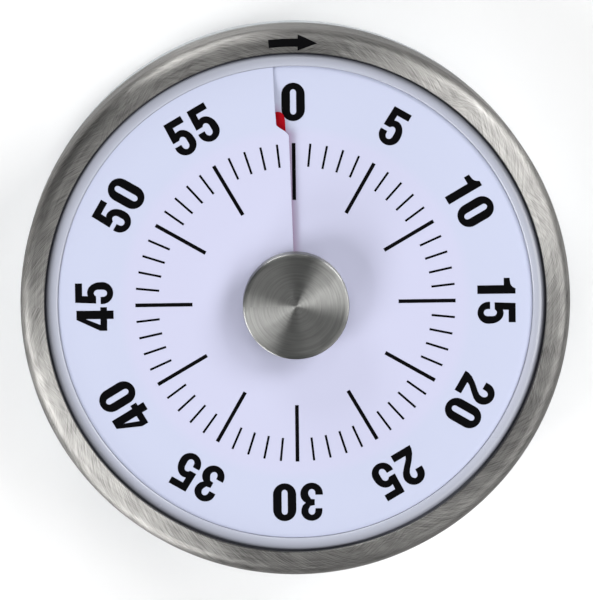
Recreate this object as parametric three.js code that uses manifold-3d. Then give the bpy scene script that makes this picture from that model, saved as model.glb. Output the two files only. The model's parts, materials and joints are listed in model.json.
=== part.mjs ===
// A wind-up kitchen timer with a red time disc: a steel case over a plastic back shell, and a
// spring-driven clockwork movement between two plates, with a bell under it.
// Millimetres. The back rests on z = 0, +Z comes out of the dial and +Y points to 12 o'clock.
import * as THREE from "three";
import { mergeVertices } from "three/addons/utils/BufferGeometryUtils.js";
import Module from "manifold-3d";

const wasm = await Module();
wasm.setup();

// ---- Driving dimensions ----
const GAP = 0.3; // clearance between neighbours
const CASE_R = 40; // steel case, outside
const CASE_TOP = 25; // face of the bezel
const STEEL = 0.55; // thickness of the case's sheet
const LIP_R = 36.5; // inner edge of the bezel's lip
const LIP_DEPTH = 0.9; // from the bezel's face down to the lip's edge
const SHOULDER = 1.8; // radius of the bezel's outer bend
const SHELL_TOP = 10; // shoulder where the back shell meets the case
const SHELL_BOTTOM = 0.8; // back shell's outer face, above the grip ring
const SHELL_R = 39.8;
const CARRIER_BOTTOM = 20.6; // underside of the dial carrier's disc
const CARRIER_TOP = 22.0;
const RING_R = 34.65; // inner edge of the white ring
const RING_TOP = 24.0;
const DIAL_R = 34.35;
const DIAL_HOLE_R = 5.0;
const DIAL_Z = 23.0; // middle of the dial sheet at the low side of its cut
const DIAL_RISE = 1.0; // climb of the sheet over one turn, so its ends lie over each other
const DIAL_T = 0.24;
const CUT_BEND_R = [24.4, 26.4]; // where the S in the sheet's cut starts and ends
const FILM_R = 25.6; // red time disc
const FILM_TIP_R = 28.0; // its leading tip
const FILM_T = 0.2;
const FILM_LEAD_DEG = -2.6; // leading edge at rest, clockwise from 12 o'clock
const KNOB_R = 7.7;
const KNOB_BOTTOM = 24.95;
const KNOB_TOP = 28.4;
const ARBOR_R = 2.0; // main arbor, from the front plate outwards
const ARBOR_BODY_R = 2.4;
const REAR_PLATE_Z = 9.4; // underside of the rear plate
const FRONT_PLATE_Z = 19.0; // underside of the front plate
const PLATE_T = 0.8;
const PLATE_R = 27.5;
const SPRING_POST_DEG = 110; // where the mainspring's outer end is held
const PILLAR_AT_R = 23;
const PILLAR_DEGS = [70, 155, 318];
const CASE_SCREW_AT_R = 33;
const CASE_SCREW_DEGS = [30, 150, 270];
const MOVEMENT_SCREW_AT_R = 29.5;
const MOVEMENT_SCREW_DEGS = [90, 210, 330];
const MAGNET_AT_R = 15.5;
const MAGNET_DEGS = [90, 210, 330];
const MAGNET_R = 6;
const MAGNET_T = 2.5;
const FOOT_R = [24, 27.5]; // grip ring, inner and outer radius
const FOOT_T = 1.4;
const BELL_R = 27;
const BELL_FLOOR = 5.0;
const BELL_TOP = 9.0;
const BELL_T = 0.6;
const PIVOT_R = 0.6; // wheel arbors, in the plates
const STAFF_R = 0.9; // wheel arbors, between the plates
const PIVOT_BOTTOM = 9.0;
const PIVOT_TOP = 20.1;
const STAFF_FROM = 10.5; // where the thick part of an arbor starts and ends
const STAFF_TO = 18.7;
const ROUND = 40; // sides of the case's round parts

// Heights of the movement's parts: underside and top.
const LEVEL = {
  hammerHead: [6.6, 8.8],
  hammerArm: [7.4, 8.2],
  pillarNut: [8.0, REAR_PLATE_Z - GAP],
  secondPinion: [10.6, 12.1],
  greatWheel: [10.9, 11.7],
  ratchet: [12.0, 12.6],
  alarm: [12.9, 13.5],
  thirdPinion: [13.6, 14.8],
  secondWheel: [13.9, 14.5],
  balance: [14.0, 15.0],
  hammerSpring: [14.9, 16.6],
  mainspring: [14.9, 18.3],
  springPost: [14.6, FRONT_PLATE_Z - GAP],
  escapePinion: [15.3, 16.5],
  thirdWheel: [15.6, 16.2],
  palletLever: [17.0, 18.0],
  escapeWheel: [17.2, 17.8],
  movementScrewHead: [17.6, FRONT_PLATE_Z - GAP],
};

// Gear train: teeth and module of each mesh, from the main arbor to the escape wheel.
const GREAT = { teeth: 60, pinion: 10, module: 0.5 };
const SECOND = { teeth: 48, pinion: 8, module: 0.4 };
const THIRD = { teeth: 40, pinion: 8, module: 0.4 };
const ESCAPE_TEETH = 30;
const ESCAPE_R = 5.0;
const PALLET_DISTANCE = 8.2; // escape wheel's centre to the pallet's

// Places of the arbors, seen from the dial.
const SECOND_AT = polar(centreDistance(GREAT), 200);
const THIRD_AT = polar(19.4, 234.6, SECOND_AT, centreDistance(SECOND));
const ESCAPE_AT = polar(18.6, 263.8, THIRD_AT, centreDistance(THIRD));
const BALANCE_AT = polar(18.6, 289.3, ESCAPE_AT, PALLET_DISTANCE);
const LEVER_AT = new THREE.Vector2(14, 11);
const HAMMER_AT = new THREE.Vector2(18.5, -8);

// ---- Materials ----
const brushedSteel = material(0xb3aea6, 0.35, 1);
const springSteel = material(0x6f7378, 0.4, 1);
const platedSteel = material(0xb9bcc0, 0.3, 1);
const brass = material(0xb5954e, 0.35, 1);
const whitePlastic = material(0xe2e2e0, 0.45, 0);
const shellPlastic = material(0xd9d8d4, 0.55, 0);
const dialPlastic = material(0xe6e8f4, 0.2, 0);
const redFilm = material(0xc8101c, 0.35, 0);
const nylon = material(0xd8d5c8, 0.5, 0);
const rubber = material(0x2b2b2c, 0.85, 0);
const magnetNickel = material(0x9a9c9f, 0.3, 1);

function material(color, roughness, metalness) {
  return new THREE.MeshStandardMaterial({ color, roughness, metalness });
}

// ---- Places ----
function centreDistance({ teeth, pinion, module }) {
  return (module * (teeth + pinion)) / 2;
}

// A point at a radius and angle from the main arbor. With a neighbour, it is moved along the line
// to that neighbour until the two are exactly the stated distance apart.
function polar(r, degrees, neighbour, distance) {
  const a = THREE.MathUtils.degToRad(degrees);
  const p = new THREE.Vector2(r * Math.cos(a), r * Math.sin(a));
  if (!neighbour) return p;
  return p.sub(neighbour).setLength(distance).add(neighbour);
}

// ---- Solids ----
// A closed profile of [radius, height] points, turned around Z.
function turned(profile, segments = ROUND) {
  const closed = [...profile, profile[0]];
  const points = closed.map(([r, z]) => new THREE.Vector2(r, z));
  return new THREE.LatheGeometry(points, segments).rotateX(Math.PI / 2);
}

// A plain disc, or a ring when it has an inner radius, from z0 to z1.
function disc(r, z0, z1, segments = 24, hole = 0) {
  return turned([[hole, z0], [r, z0], [r, z1], [hole, z1]], segments);
}

// An outline of Vector2 points, pushed up from z0 to z1, with round holes.
function pushed(outline, z0, z1, holes = []) {
  const shape = new THREE.Shape(outline);
  for (const { x = 0, y = 0, r, sides = 10 } of holes) {
    shape.holes.push(new THREE.Path(circle(r, sides, x, y)));
  }
  const options = { depth: z1 - z0, bevelEnabled: false };
  return new THREE.ExtrudeGeometry(shape, options).translate(0, 0, z0);
}

function circle(r, sides, x = 0, y = 0) {
  return Array.from({ length: sides }, (_, i) => {
    const a = (2 * Math.PI * i) / sides;
    return new THREE.Vector2(x + r * Math.cos(a), y + r * Math.sin(a));
  });
}

function solidOf(geometry) {
  const bare = new THREE.BufferGeometry();
  bare.setAttribute("position", geometry.getAttribute("position"));
  bare.setIndex(geometry.index);
  const merged = mergeVertices(bare, 1e-4);
  return new wasm.Manifold(
    new wasm.Mesh({
      numProp: 3,
      vertProperties: merged.attributes.position.array,
      triVerts: new Uint32Array(merged.index.array),
    }),
  );
}

// The first geometry with others joined to it, then others cut from it.
function combined(base, { add = [], cut = [] }) {
  let solid = solidOf(base);
  for (const g of add) solid = solid.add(solidOf(g));
  for (const g of cut) solid = solid.subtract(solidOf(g));
  const mesh = solid.getMesh();
  const made = new THREE.BufferGeometry();
  made.setAttribute("position", new THREE.BufferAttribute(mesh.vertProperties, 3));
  made.setIndex(new THREE.BufferAttribute(mesh.triVerts, 1));
  return made;
}

// Copies of a geometry at each of the angles, at one radius.
function ringOf(degrees, r, makeGeometry) {
  return degrees.map((d) => {
    const p = polar(r, d);
    return makeGeometry().translate(p.x, p.y, 0);
  });
}

// ---- The dial's helicoid ----
// Height of the dial sheet's middle at a clockwise angle from 12 o'clock, in radians.
function dialHeight(angle) {
  return DIAL_Z + (DIAL_RISE * angle) / (2 * Math.PI);
}

// How far the dial's cut lies left of 12 o'clock at a radius: a straight run, an S, a straight run.
function cutOffset(r) {
  const inner = { from: KNOB_R, to: CUT_BEND_R[0], start: 0.2, end: 0.66 };
  const outer = { from: CUT_BEND_R[1], to: DIAL_R, start: 2.58, end: 2.86 };
  if (r < inner.to) {
    const t = Math.max(0, (r - inner.from) / (inner.to - inner.from));
    return THREE.MathUtils.lerp(inner.start, inner.end, t);
  }
  if (r < outer.from) {
    const t = (r - inner.to) / (outer.from - inner.to);
    return THREE.MathUtils.lerp(inner.end, outer.start, t * t * (3 - 2 * t));
  }
  const t = (r - outer.from) / (outer.to - outer.from);
  return THREE.MathUtils.lerp(outer.start, outer.end, t);
}

// A sheet over a grid of columns (angles) and rows (radii). point(column, row) gives the radius and
// clockwise angle, bottom(angle) and top(angle) its two faces. It is closed along all four edges.
function sheetSolid(columns, rows, point, bottom, top) {
  const position = [];
  const index = [];
  const at = (c, w, level) => 2 * (c * rows + w) + level;
  for (let c = 0; c < columns; c++) {
    for (let w = 0; w < rows; w++) {
      const [r, angle] = point(c, w);
      const x = r * Math.sin(angle);
      const y = r * Math.cos(angle);
      position.push(x, y, bottom(angle), x, y, top(angle));
    }
  }
  const quad = (a, b, c, d) => index.push(a, b, c, a, c, d);
  for (let c = 0; c + 1 < columns; c++) {
    for (let w = 0; w + 1 < rows; w++) {
      quad(at(c, w, 1), at(c + 1, w, 1), at(c + 1, w + 1, 1), at(c, w + 1, 1));
      quad(at(c, w, 0), at(c, w + 1, 0), at(c + 1, w + 1, 0), at(c + 1, w, 0));
    }
    const last = rows - 1;
    quad(at(c, 0, 0), at(c + 1, 0, 0), at(c + 1, 0, 1), at(c, 0, 1));
    quad(at(c, last, 0), at(c, last, 1), at(c + 1, last, 1), at(c + 1, last, 0));
  }
  for (let w = 0; w + 1 < rows; w++) {
    const last = columns - 1;
    quad(at(0, w, 0), at(0, w, 1), at(0, w + 1, 1), at(0, w + 1, 0));
    quad(at(last, w, 0), at(last, w + 1, 0), at(last, w + 1, 1), at(last, w, 1));
  }
  const geometry = new THREE.BufferGeometry();
  geometry.setAttribute("position", new THREE.Float32BufferAttribute(position, 3));
  geometry.setIndex(index);
  return geometry;
}

function dialSheet() {
  const radii = [DIAL_HOLE_R, CUT_BEND_R[0], 25.1, 25.7, CUT_BEND_R[1], DIAL_R];
  const steps = 40;
  const point = (c, w) => {
    const r = radii[w];
    return [r, (2 * Math.PI * c) / steps - Math.asin(cutOffset(r) / r)];
  };
  const half = DIAL_T / 2;
  return sheetSolid(
    steps + 1, radii.length, point,
    (angle) => dialHeight(angle) - half,
    (angle) => dialHeight(angle) + half,
  );
}

// Radius of the driver collar at an angle: round, with two flats that turn the red disc.
function collarRadius(angle, clearance) {
  const round = 4.2;
  const flat = 3.7;
  const across = Math.abs(Math.cos(angle));
  return Math.min(round, flat / Math.max(across, 0.1)) + clearance;
}

// The red disc lies halfway between the two layers of the dial sheet. Its tip stands out beyond
// its rim at the leading edge.
function redDisc() {
  const lead = THREE.MathUtils.degToRad(FILM_LEAD_DEG);
  const tip = [[0, 26.9], [1, 27.7], [2.2, FILM_TIP_R], [3.6, 27.6], [5, 26.6], [7, FILM_R]];
  const turn = 360;
  const steps = 40;
  const rest = tip[tip.length - 1][0];
  const columns = tip.map(([degrees, r]) => ({ degrees, r }));
  for (let i = 1; i <= steps; i++) {
    columns.push({ degrees: rest + ((turn - rest) * i) / steps, r: FILM_R });
  }
  const share = [0, 0.5, 1];
  const point = (c, w) => {
    const angle = lead - THREE.MathUtils.degToRad(columns[columns.length - 1 - c].degrees);
    const inner = collarRadius(angle, GAP);
    return [THREE.MathUtils.lerp(inner, columns[columns.length - 1 - c].r, share[w]), angle];
  };
  const middle = (angle) => dialHeight(angle) + DIAL_RISE / 2;
  return sheetSolid(
    columns.length, share.length, point,
    (angle) => middle(angle) - FILM_T / 2,
    (angle) => middle(angle) + FILM_T / 2,
  );
}

function filmCollar() {
  const outline = Array.from({ length: 28 }, (_, i) => {
    const angle = (2 * Math.PI * i) / 28;
    const r = collarRadius(angle, 0);
    return new THREE.Vector2(r * Math.sin(angle), r * Math.cos(angle));
  });
  const bore = { r: ARBOR_R + GAP, sides: 16 };
  return pushed(outline, CARRIER_TOP + GAP, KNOB_BOTTOM - 0.3, [bore]);
}

// ---- Case ----
function caseRing() {
  const arc = [0, 45, 90].map((d) => THREE.MathUtils.degToRad(d));
  const bend = (r) => arc.map((a) => [
    CASE_R - SHOULDER + r * Math.sin(a),
    CASE_TOP - SHOULDER + r * Math.cos(a),
  ]);
  const foot = SHELL_TOP + GAP;
  const lipFoot = CASE_TOP - LIP_DEPTH;
  return turned([
    [LIP_R, lipFoot], [LIP_R + STEEL, lipFoot],
    [LIP_R + STEEL, CASE_TOP - STEEL],
    ...bend(SHOULDER - STEEL),
    [CASE_R - STEEL, foot], [CASE_R, foot],
    ...bend(SHOULDER).reverse(),
    [LIP_R + 0.3, CASE_TOP], [LIP_R, CASE_TOP - 0.3],
  ]);
}

function backShell() {
  const wall = 2.2;
  const inside = SHELL_R - wall;
  const floorTop = 2.6;
  const tongue = CASE_R - STEEL - 0.35;
  const groove = { inner: FOOT_R[0] - GAP, outer: FOOT_R[1] + GAP, top: FOOT_T + GAP };
  const post = { r: 4, top: BELL_FLOOR - GAP, bore: 1.5, boreBottom: 1.9 };
  const body = turned([
    [0, SHELL_BOTTOM],
    [groove.inner, SHELL_BOTTOM], [groove.inner, groove.top],
    [groove.outer, groove.top], [groove.outer, SHELL_BOTTOM],
    [SHELL_R - 1.8, SHELL_BOTTOM], [SHELL_R, SHELL_BOTTOM + 1.8], [SHELL_R, SHELL_TOP],
    [tongue, SHELL_TOP], [tongue, SHELL_TOP + 2.6],
    [inside, SHELL_TOP + 2.6], [inside, floorTop],
    [post.r, floorTop], [post.r, post.top], [post.bore, post.top],
    [post.bore, post.boreBottom], [0, post.boreBottom],
  ]);
  const sunk = floorTop - 0.1;
  const screwBoss = () => disc(4.2, sunk, 7.0, 12);
  const screwHole = () => disc(1.6, 0, 8.0, 8);
  const counterbore = () => disc(2.9, 0, 2.8, 12);
  const magnetBoss = () => disc(MAGNET_R + 1.4, sunk, 4.2, 20);
  const magnetPocket = () => disc(MAGNET_R + GAP, 0, MAGNET_T + GAP, 20);
  return combined(body, {
    add: [
      ...ringOf(CASE_SCREW_DEGS, CASE_SCREW_AT_R, screwBoss),
      ...ringOf(MAGNET_DEGS, MAGNET_AT_R, magnetBoss),
    ],
    cut: [
      ...ringOf(CASE_SCREW_DEGS, CASE_SCREW_AT_R, screwHole),
      ...ringOf(CASE_SCREW_DEGS, CASE_SCREW_AT_R, counterbore),
      ...ringOf(MAGNET_DEGS, MAGNET_AT_R, magnetPocket),
    ],
  });
}

// Disc, white ring and skirt in one moulding, with a climbing ledge under the dial sheet's rim.
function dialCarrier() {
  const skirt = { inner: 37.7, outer: CASE_R - STEEL - 0.35, bottom: 17.5 };
  const underLip = CASE_TOP - LIP_DEPTH - GAP;
  const body = turned([
    [5.2, CARRIER_BOTTOM], [skirt.inner, CARRIER_BOTTOM],
    [skirt.inner, skirt.bottom], [skirt.outer, skirt.bottom],
    [skirt.outer, underLip], [LIP_R - 0.3, underLip],
    [LIP_R - 0.3, RING_TOP - 0.1], [LIP_R - 0.6, RING_TOP],
    [RING_R + 0.2, RING_TOP], [RING_R, RING_TOP - 0.2],
    [RING_R, CARRIER_TOP], [5.2, CARRIER_TOP],
  ]);
  const ledgeRadii = [32.4, RING_R + 0.15];
  const steps = 28;
  const start = 0.01 - Math.asin(cutOffset(DIAL_R) / DIAL_R);
  const ledge = sheetSolid(
    steps + 1, 2,
    (c, w) => [ledgeRadii[w], start + ((2 * Math.PI - 0.02) * c) / steps],
    () => CARRIER_TOP - 0.3,
    (angle) => dialHeight(angle) - DIAL_T / 2 - GAP,
  );
  const longBoss = () => disc(3.2, 7.3, CARRIER_BOTTOM + 0.2, 12);
  const longBore = () => disc(1.6, 7.0, 17.0, 8);
  const shortBoss = () => disc(2.6, FRONT_PLATE_Z + PLATE_T + GAP, CARRIER_BOTTOM + 0.2, 10);
  const shortBore = () => disc(1.2, 20.0, 21.6, 8);
  return combined(body, {
    add: [
      ledge,
      ...ringOf(CASE_SCREW_DEGS, CASE_SCREW_AT_R, longBoss),
      ...ringOf(MOVEMENT_SCREW_DEGS, MOVEMENT_SCREW_AT_R, shortBoss),
    ],
    cut: [
      ...ringOf(CASE_SCREW_DEGS, CASE_SCREW_AT_R, longBore),
      ...ringOf(MOVEMENT_SCREW_DEGS, MOVEMENT_SCREW_AT_R, shortBore),
    ],
  });
}

// ---- Knob ----
function knob() {
  const wall = 0.6;
  const edge = 0.35;
  return turned([
    [KNOB_R - wall, KNOB_BOTTOM], [KNOB_R, KNOB_BOTTOM],
    [KNOB_R, KNOB_TOP - edge], [KNOB_R - edge, KNOB_TOP],
    [0, KNOB_TOP], [0, KNOB_TOP - wall], [KNOB_R - wall, KNOB_TOP - wall],
  ], 32);
}

// The nylon hub inside the knob's cap.
function knobInsert() {
  return disc(KNOB_R - 0.9, KNOB_BOTTOM + 0.25, KNOB_TOP - 0.9, 24, ARBOR_R + GAP);
}

function mainArbor() {
  return turned([
    [0, 8.6], [1.5, 8.6], [1.5, STAFF_FROM], [ARBOR_BODY_R, STAFF_FROM],
    [ARBOR_BODY_R, STAFF_TO], [ARBOR_R, STAFF_TO], [ARBOR_R, KNOB_TOP - 1.1], [0, KNOB_TOP - 1.1],
  ], 16);
}

// ---- Gears ----
// Straight-sided teeth: each has a root half-width and a tip half-width, as angles. The first
// tooth, or with gapFirst the first gap, is centred on the stated direction.
function gearOutline({ teeth, rootR, tipR, rootHalf, tipHalf, toward, gapFirst = false }) {
  const pitch = (2 * Math.PI) / teeth;
  const outline = [];
  for (let i = 0; i < teeth; i++) {
    const centre = toward + (i + (gapFirst ? 0.5 : 0)) * pitch;
    const corners = [[rootR, -rootHalf], [tipR, -tipHalf], [tipR, tipHalf], [rootR, rootHalf]];
    for (const [r, a] of corners) {
      outline.push(new THREE.Vector2(r * Math.cos(centre + a), r * Math.sin(centre + a)));
    }
  }
  return outline;
}

function wheelOutline({ teeth, module }, toward) {
  const r = (teeth * module) / 2;
  const half = 0.19 * Math.PI * module;
  const tipR = r + 0.75 * module;
  const rootR = r - 1.15 * module;
  return gearOutline({
    teeth, rootR, tipR, toward,
    rootHalf: (half + 0.25 * module) / rootR,
    tipHalf: (half - 0.32 * module) / tipR,
  });
}

function pinionOutline({ pinion, module }, toward) {
  const r = (pinion * module) / 2;
  return gearOutline({
    teeth: pinion, toward, gapFirst: true,
    rootR: r - 1.15 * module, tipR: r + 0.6 * module,
    rootHalf: 0.68 / pinion, tipHalf: 0.32 / pinion,
  });
}

function directionTo(from, to) {
  return Math.atan2(to.y - from.y, to.x - from.x);
}

// A wheel's arbor with its pinion, at the origin. The pinion's gap faces the wheel that drives it.
function pinionArbor(mesh, at, driverAt, level) {
  const leaves = pushed(pinionOutline(mesh, directionTo(at, driverAt)), ...level);
  return combined(staff(), { add: [leaves] });
}

// A thick staff between two thin pivots.
function staff() {
  return turned([
    [0, PIVOT_BOTTOM], [PIVOT_R, PIVOT_BOTTOM], [PIVOT_R, STAFF_FROM], [STAFF_R, STAFF_FROM],
    [STAFF_R, STAFF_TO], [PIVOT_R, STAFF_TO], [PIVOT_R, PIVOT_TOP], [0, PIVOT_TOP],
  ], 10);
}

function sawWheel(teeth, rootR, tipR, level, holeR) {
  const outline = [];
  const pitch = (2 * Math.PI) / teeth;
  for (let i = 0; i < teeth; i++) {
    for (const [r, a] of [[rootR, i * pitch], [tipR, (i + 0.9) * pitch]]) {
      outline.push(new THREE.Vector2(r * Math.cos(a), r * Math.sin(a)));
    }
  }
  return pushed(outline, ...level, [{ r: holeR, sides: 16 }]);
}

function alarmCam() {
  const r = 7.0;
  const notch = { halfDeg: 8, r: 5.8 };
  const stepDeg = 14.3;
  const outline = [];
  for (let d = notch.halfDeg; d <= 360 - notch.halfDeg; d += stepDeg) {
    outline.push(polar(r, d));
  }
  outline.push(polar(notch.r, -notch.halfDeg), polar(notch.r, notch.halfDeg));
  return pushed(outline, ...LEVEL.alarm, [{ r: ARBOR_BODY_R + GAP, sides: 16 }]);
}

function click() {
  const outline = [[5.7, 0.2], [7.6, -1.2], [9.4, -0.4], [9.6, 0.9], [8.2, 1.3], [7.4, 0.6]];
  return pushed(outline.map(([x, y]) => new THREE.Vector2(x, y)), ...LEVEL.ratchet);
}

// ---- Springs ----
function mainspring() {
  const turns = 5;
  const stepsPerTurn = 14;
  const strip = 0.36;
  const start = ARBOR_BODY_R + GAP + strip / 2;
  const end = 10.0;
  const total = turns * stepsPerTurn;
  const side = (offset) => Array.from({ length: total + 1 }, (_, i) => {
    const r = start + ((end - start) * i) / total + offset;
    const a = THREE.MathUtils.degToRad(SPRING_POST_DEG) + (2 * Math.PI * (i - total)) / stepsPerTurn;
    return new THREE.Vector2(r * Math.cos(a), r * Math.sin(a));
  });
  return pushed([...side(strip / 2), ...side(-strip / 2).reverse()], ...LEVEL.mainspring);
}

function coilSpring(coilR, wireR, [z0, z1], turns) {
  class Helix extends THREE.Curve {
    getPoint(t, target = new THREE.Vector3()) {
      const a = 2 * Math.PI * turns * t;
      return target.set(coilR * Math.cos(a), coilR * Math.sin(a), z0 + (z1 - z0) * t);
    }
  }
  const section = new THREE.Shape(circle(wireR, 5));
  return new THREE.ExtrudeGeometry(section, { steps: turns * 8, extrudePath: new Helix() });
}

// ---- Movement ----
function plate(z, mainHoleR, hammerHoleR) {
  const bearing = (p, r = PIVOT_R + GAP) => ({ x: p.x, y: p.y, r, sides: 8 });
  const holes = [
    { r: mainHoleR, sides: 16 },
    ...[SECOND_AT, THIRD_AT, ESCAPE_AT, BALANCE_AT, LEVER_AT].map((p) => bearing(p)),
    bearing(HAMMER_AT, hammerHoleR),
    ...PILLAR_DEGS.map((d) => bearing(polar(PILLAR_AT_R, d), 1.0 + GAP)),
  ];
  return { outline: circle(PLATE_R, 36), holes, z0: z, z1: z + PLATE_T };
}

function rearPlate() {
  const { outline, holes, z0, z1 } = plate(REAR_PLATE_Z, 1.5 + GAP, STAFF_R + GAP);
  return pushed(outline, z0, z1, holes);
}

// The front plate has an ear at each screw that fixes the movement to the dial carrier.
function frontPlate() {
  const { outline, holes, z0, z1 } = plate(FRONT_PLATE_Z, ARBOR_R + GAP, PIVOT_R + GAP);
  const ear = () => disc(3.0, z0, z1, 12);
  const earHole = () => disc(1.2, z0 - 1, z1 + 1, 8);
  return combined(pushed(outline, z0, z1, holes), {
    add: ringOf(MOVEMENT_SCREW_DEGS, MOVEMENT_SCREW_AT_R, ear),
    cut: ringOf(MOVEMENT_SCREW_DEGS, MOVEMENT_SCREW_AT_R, earHole),
  });
}

function pillar() {
  const low = REAR_PLATE_Z + PLATE_T + GAP;
  const high = FRONT_PLATE_Z - GAP;
  return turned([
    [0, 7.9], [1.0, 7.9], [1.0, low], [1.6, low], [1.6, high], [1.0, high], [1.0, 20.0], [0, 20.0],
  ], 10);
}

function pillarNut() {
  return pushed(circle(2.2, 6), ...LEVEL.pillarNut, [{ r: 1.3, sides: 10 }]);
}

// A screw seen from its head: head below, shank upwards.
function screw(headR, [headZ0, headZ1], shankR, shankTop) {
  return turned([
    [0, headZ0], [headR, headZ0], [headR, headZ1],
    [shankR, headZ1], [shankR, shankTop], [0, shankTop],
  ], 12);
}

function palletLever() {
  const arm = THREE.MathUtils.degToRad(35);
  const toEscape = directionTo(BALANCE_AT, ESCAPE_AT);
  const along = (r, a) => new THREE.Vector2(r * Math.cos(toEscape + a), r * Math.sin(toEscape + a));
  const outline = [
    along(1.9, -2.2), along(3.1, -arm - 0.12), along(3.2, -arm + 0.08), along(1.9, 0),
    along(3.2, arm - 0.08), along(3.1, arm + 0.12), along(1.9, 2.2), along(2, Math.PI),
  ];
  return pushed(outline, ...LEVEL.palletLever, [{ r: STAFF_R + GAP }]);
}

// A heavy rim and one bar across.
function balanceWheel() {
  const [z0, z1] = LEVEL.balance;
  const rim = disc(6.4, z0, z1, 24, 5.1);
  const bar = new THREE.BoxGeometry(11.2, 3.6, 0.8).translate(0, 0, (z0 + z1) / 2);
  const hole = disc(STAFF_R + GAP, z0 - 1, z1 + 1, 10);
  return combined(rim, { add: [bar], cut: [hole] });
}

function alarmLever() {
  const outline = [
    [12.4, 11.6], [12.6, 1.0], [7.5, 0.45], [7.4, -0.4], [12.9, -1.0],
    [14.6, -4.6], [15.6, -4.4], [14.9, 0], [15.7, 11.4], [14, 12.8],
  ];
  const points = outline.map(([x, y]) => new THREE.Vector2(x, y));
  const hole = { x: LEVER_AT.x, y: LEVER_AT.y, r: STAFF_R + GAP };
  return pushed(points, ...LEVEL.alarm, [hole]).translate(-LEVER_AT.x, -LEVER_AT.y, 0);
}

// The arm swings under the rear plate; its head hangs inside the bell's wall.
function hammer() {
  const head = new THREE.Vector2(23.6, 4.2).sub(HAMMER_AT);
  const along = head.clone().normalize();
  const across = new THREE.Vector2(-along.y, along.x);
  const corner = (s, t) => along.clone().multiplyScalar(s).addScaledVector(across, t);
  const outline = [
    corner(-2.2, -1), corner(0, -2.2), corner(head.length(), -0.9),
    corner(head.length(), 0.9), corner(0, 2.2), corner(-2.2, 1),
  ];
  const arm = pushed(outline, ...LEVEL.hammerArm, [{ r: STAFF_R + GAP }]);
  const weight = disc(1.8, ...LEVEL.hammerHead, 16).translate(head.x, head.y, 0);
  return combined(arm, { add: [weight] });
}

// The hammer's arbor carries a finger that the alarm lever holds back.
function hammerArbor() {
  const [low, high] = LEVEL.alarm;
  const finger = new THREE.BoxGeometry(0.8, 4.0, high - low).translate(0.6, 2.0, (low + high) / 2);
  finger.rotateZ(THREE.MathUtils.degToRad(-6));
  const thick = turned([
    [0, 7.0], [STAFF_R, 7.0], [STAFF_R, STAFF_TO],
    [PIVOT_R, STAFF_TO], [PIVOT_R, PIVOT_TOP], [0, PIVOT_TOP],
  ], 10);
  return combined(thick, { add: [finger] });
}

function bell() {
  const bend = 1.5;
  const corner = (r) => [0, 90].map((d) => {
    const a = THREE.MathUtils.degToRad(d);
    return [BELL_R - bend + r * Math.sin(a), BELL_FLOOR + bend - r * Math.cos(a)];
  });
  return turned([
    [1.9, BELL_FLOOR], ...corner(bend), [BELL_R, BELL_TOP], [BELL_R - BELL_T, BELL_TOP],
    ...corner(bend - BELL_T).reverse(), [1.9, BELL_FLOOR + BELL_T],
  ], 36);
}

function bellScrew() {
  return turned([
    [0, 2.2], [1.2, 2.2], [1.2, BELL_FLOOR + BELL_T + GAP], [3.0, BELL_FLOOR + BELL_T + GAP],
    [3.0, 7.1], [0, 7.1],
  ], 16);
}

// ---- Assembly ----
const timer = new THREE.Group();

function place(name, geometry, look, at = new THREE.Vector2(0, 0)) {
  const mesh = new THREE.Mesh(geometry, look);
  mesh.name = name;
  mesh.position.set(at.x, at.y, 0);
  timer.add(mesh);
}

function placeAround(name, degrees, r, makeGeometry, look) {
  degrees.forEach((d, i) => place(`${name}_${i + 1}`, makeGeometry(), look, polar(r, d)));
}

place("case_ring", caseRing(), brushedSteel);
place("back_shell", backShell(), shellPlastic);
place("dial_carrier", dialCarrier(), whitePlastic);
place("dial_sheet", dialSheet(), dialPlastic);
place("red_disc", redDisc(), redFilm);
place("film_collar", filmCollar(), nylon);
place("knob", knob(), brushedSteel);
place("knob_insert", knobInsert(), nylon);
place("foot_ring", disc(FOOT_R[1], 0, FOOT_T, 36, FOOT_R[0]), rubber);
placeAround("magnet", MAGNET_DEGS, MAGNET_AT_R, () => disc(MAGNET_R, 0, MAGNET_T), magnetNickel);
placeAround(
  "case_screw", CASE_SCREW_DEGS, CASE_SCREW_AT_R,
  () => screw(2.6, [1.2, 2.5], 1.3, 15), platedSteel,
);

place("main_arbor", mainArbor(), platedSteel);
place("ratchet_wheel", sawWheel(16, 4.3, 5.4, LEVEL.ratchet, ARBOR_BODY_R + GAP), springSteel);
place("alarm_cam", alarmCam(), brass);
place("mainspring", mainspring(), springSteel);
place("spring_post", disc(0.8, ...LEVEL.springPost, 10), platedSteel, polar(11.6, SPRING_POST_DEG));
place("front_plate", frontPlate(), platedSteel);
place("rear_plate", rearPlate(), platedSteel);
placeAround("pillar", PILLAR_DEGS, PILLAR_AT_R, pillar, platedSteel);
placeAround("pillar_nut", PILLAR_DEGS, PILLAR_AT_R, pillarNut, platedSteel);
placeAround(
  "movement_screw", MOVEMENT_SCREW_DEGS, MOVEMENT_SCREW_AT_R,
  () => screw(1.9, LEVEL.movementScrewHead, 0.9, 21.3), platedSteel,
);

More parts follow.
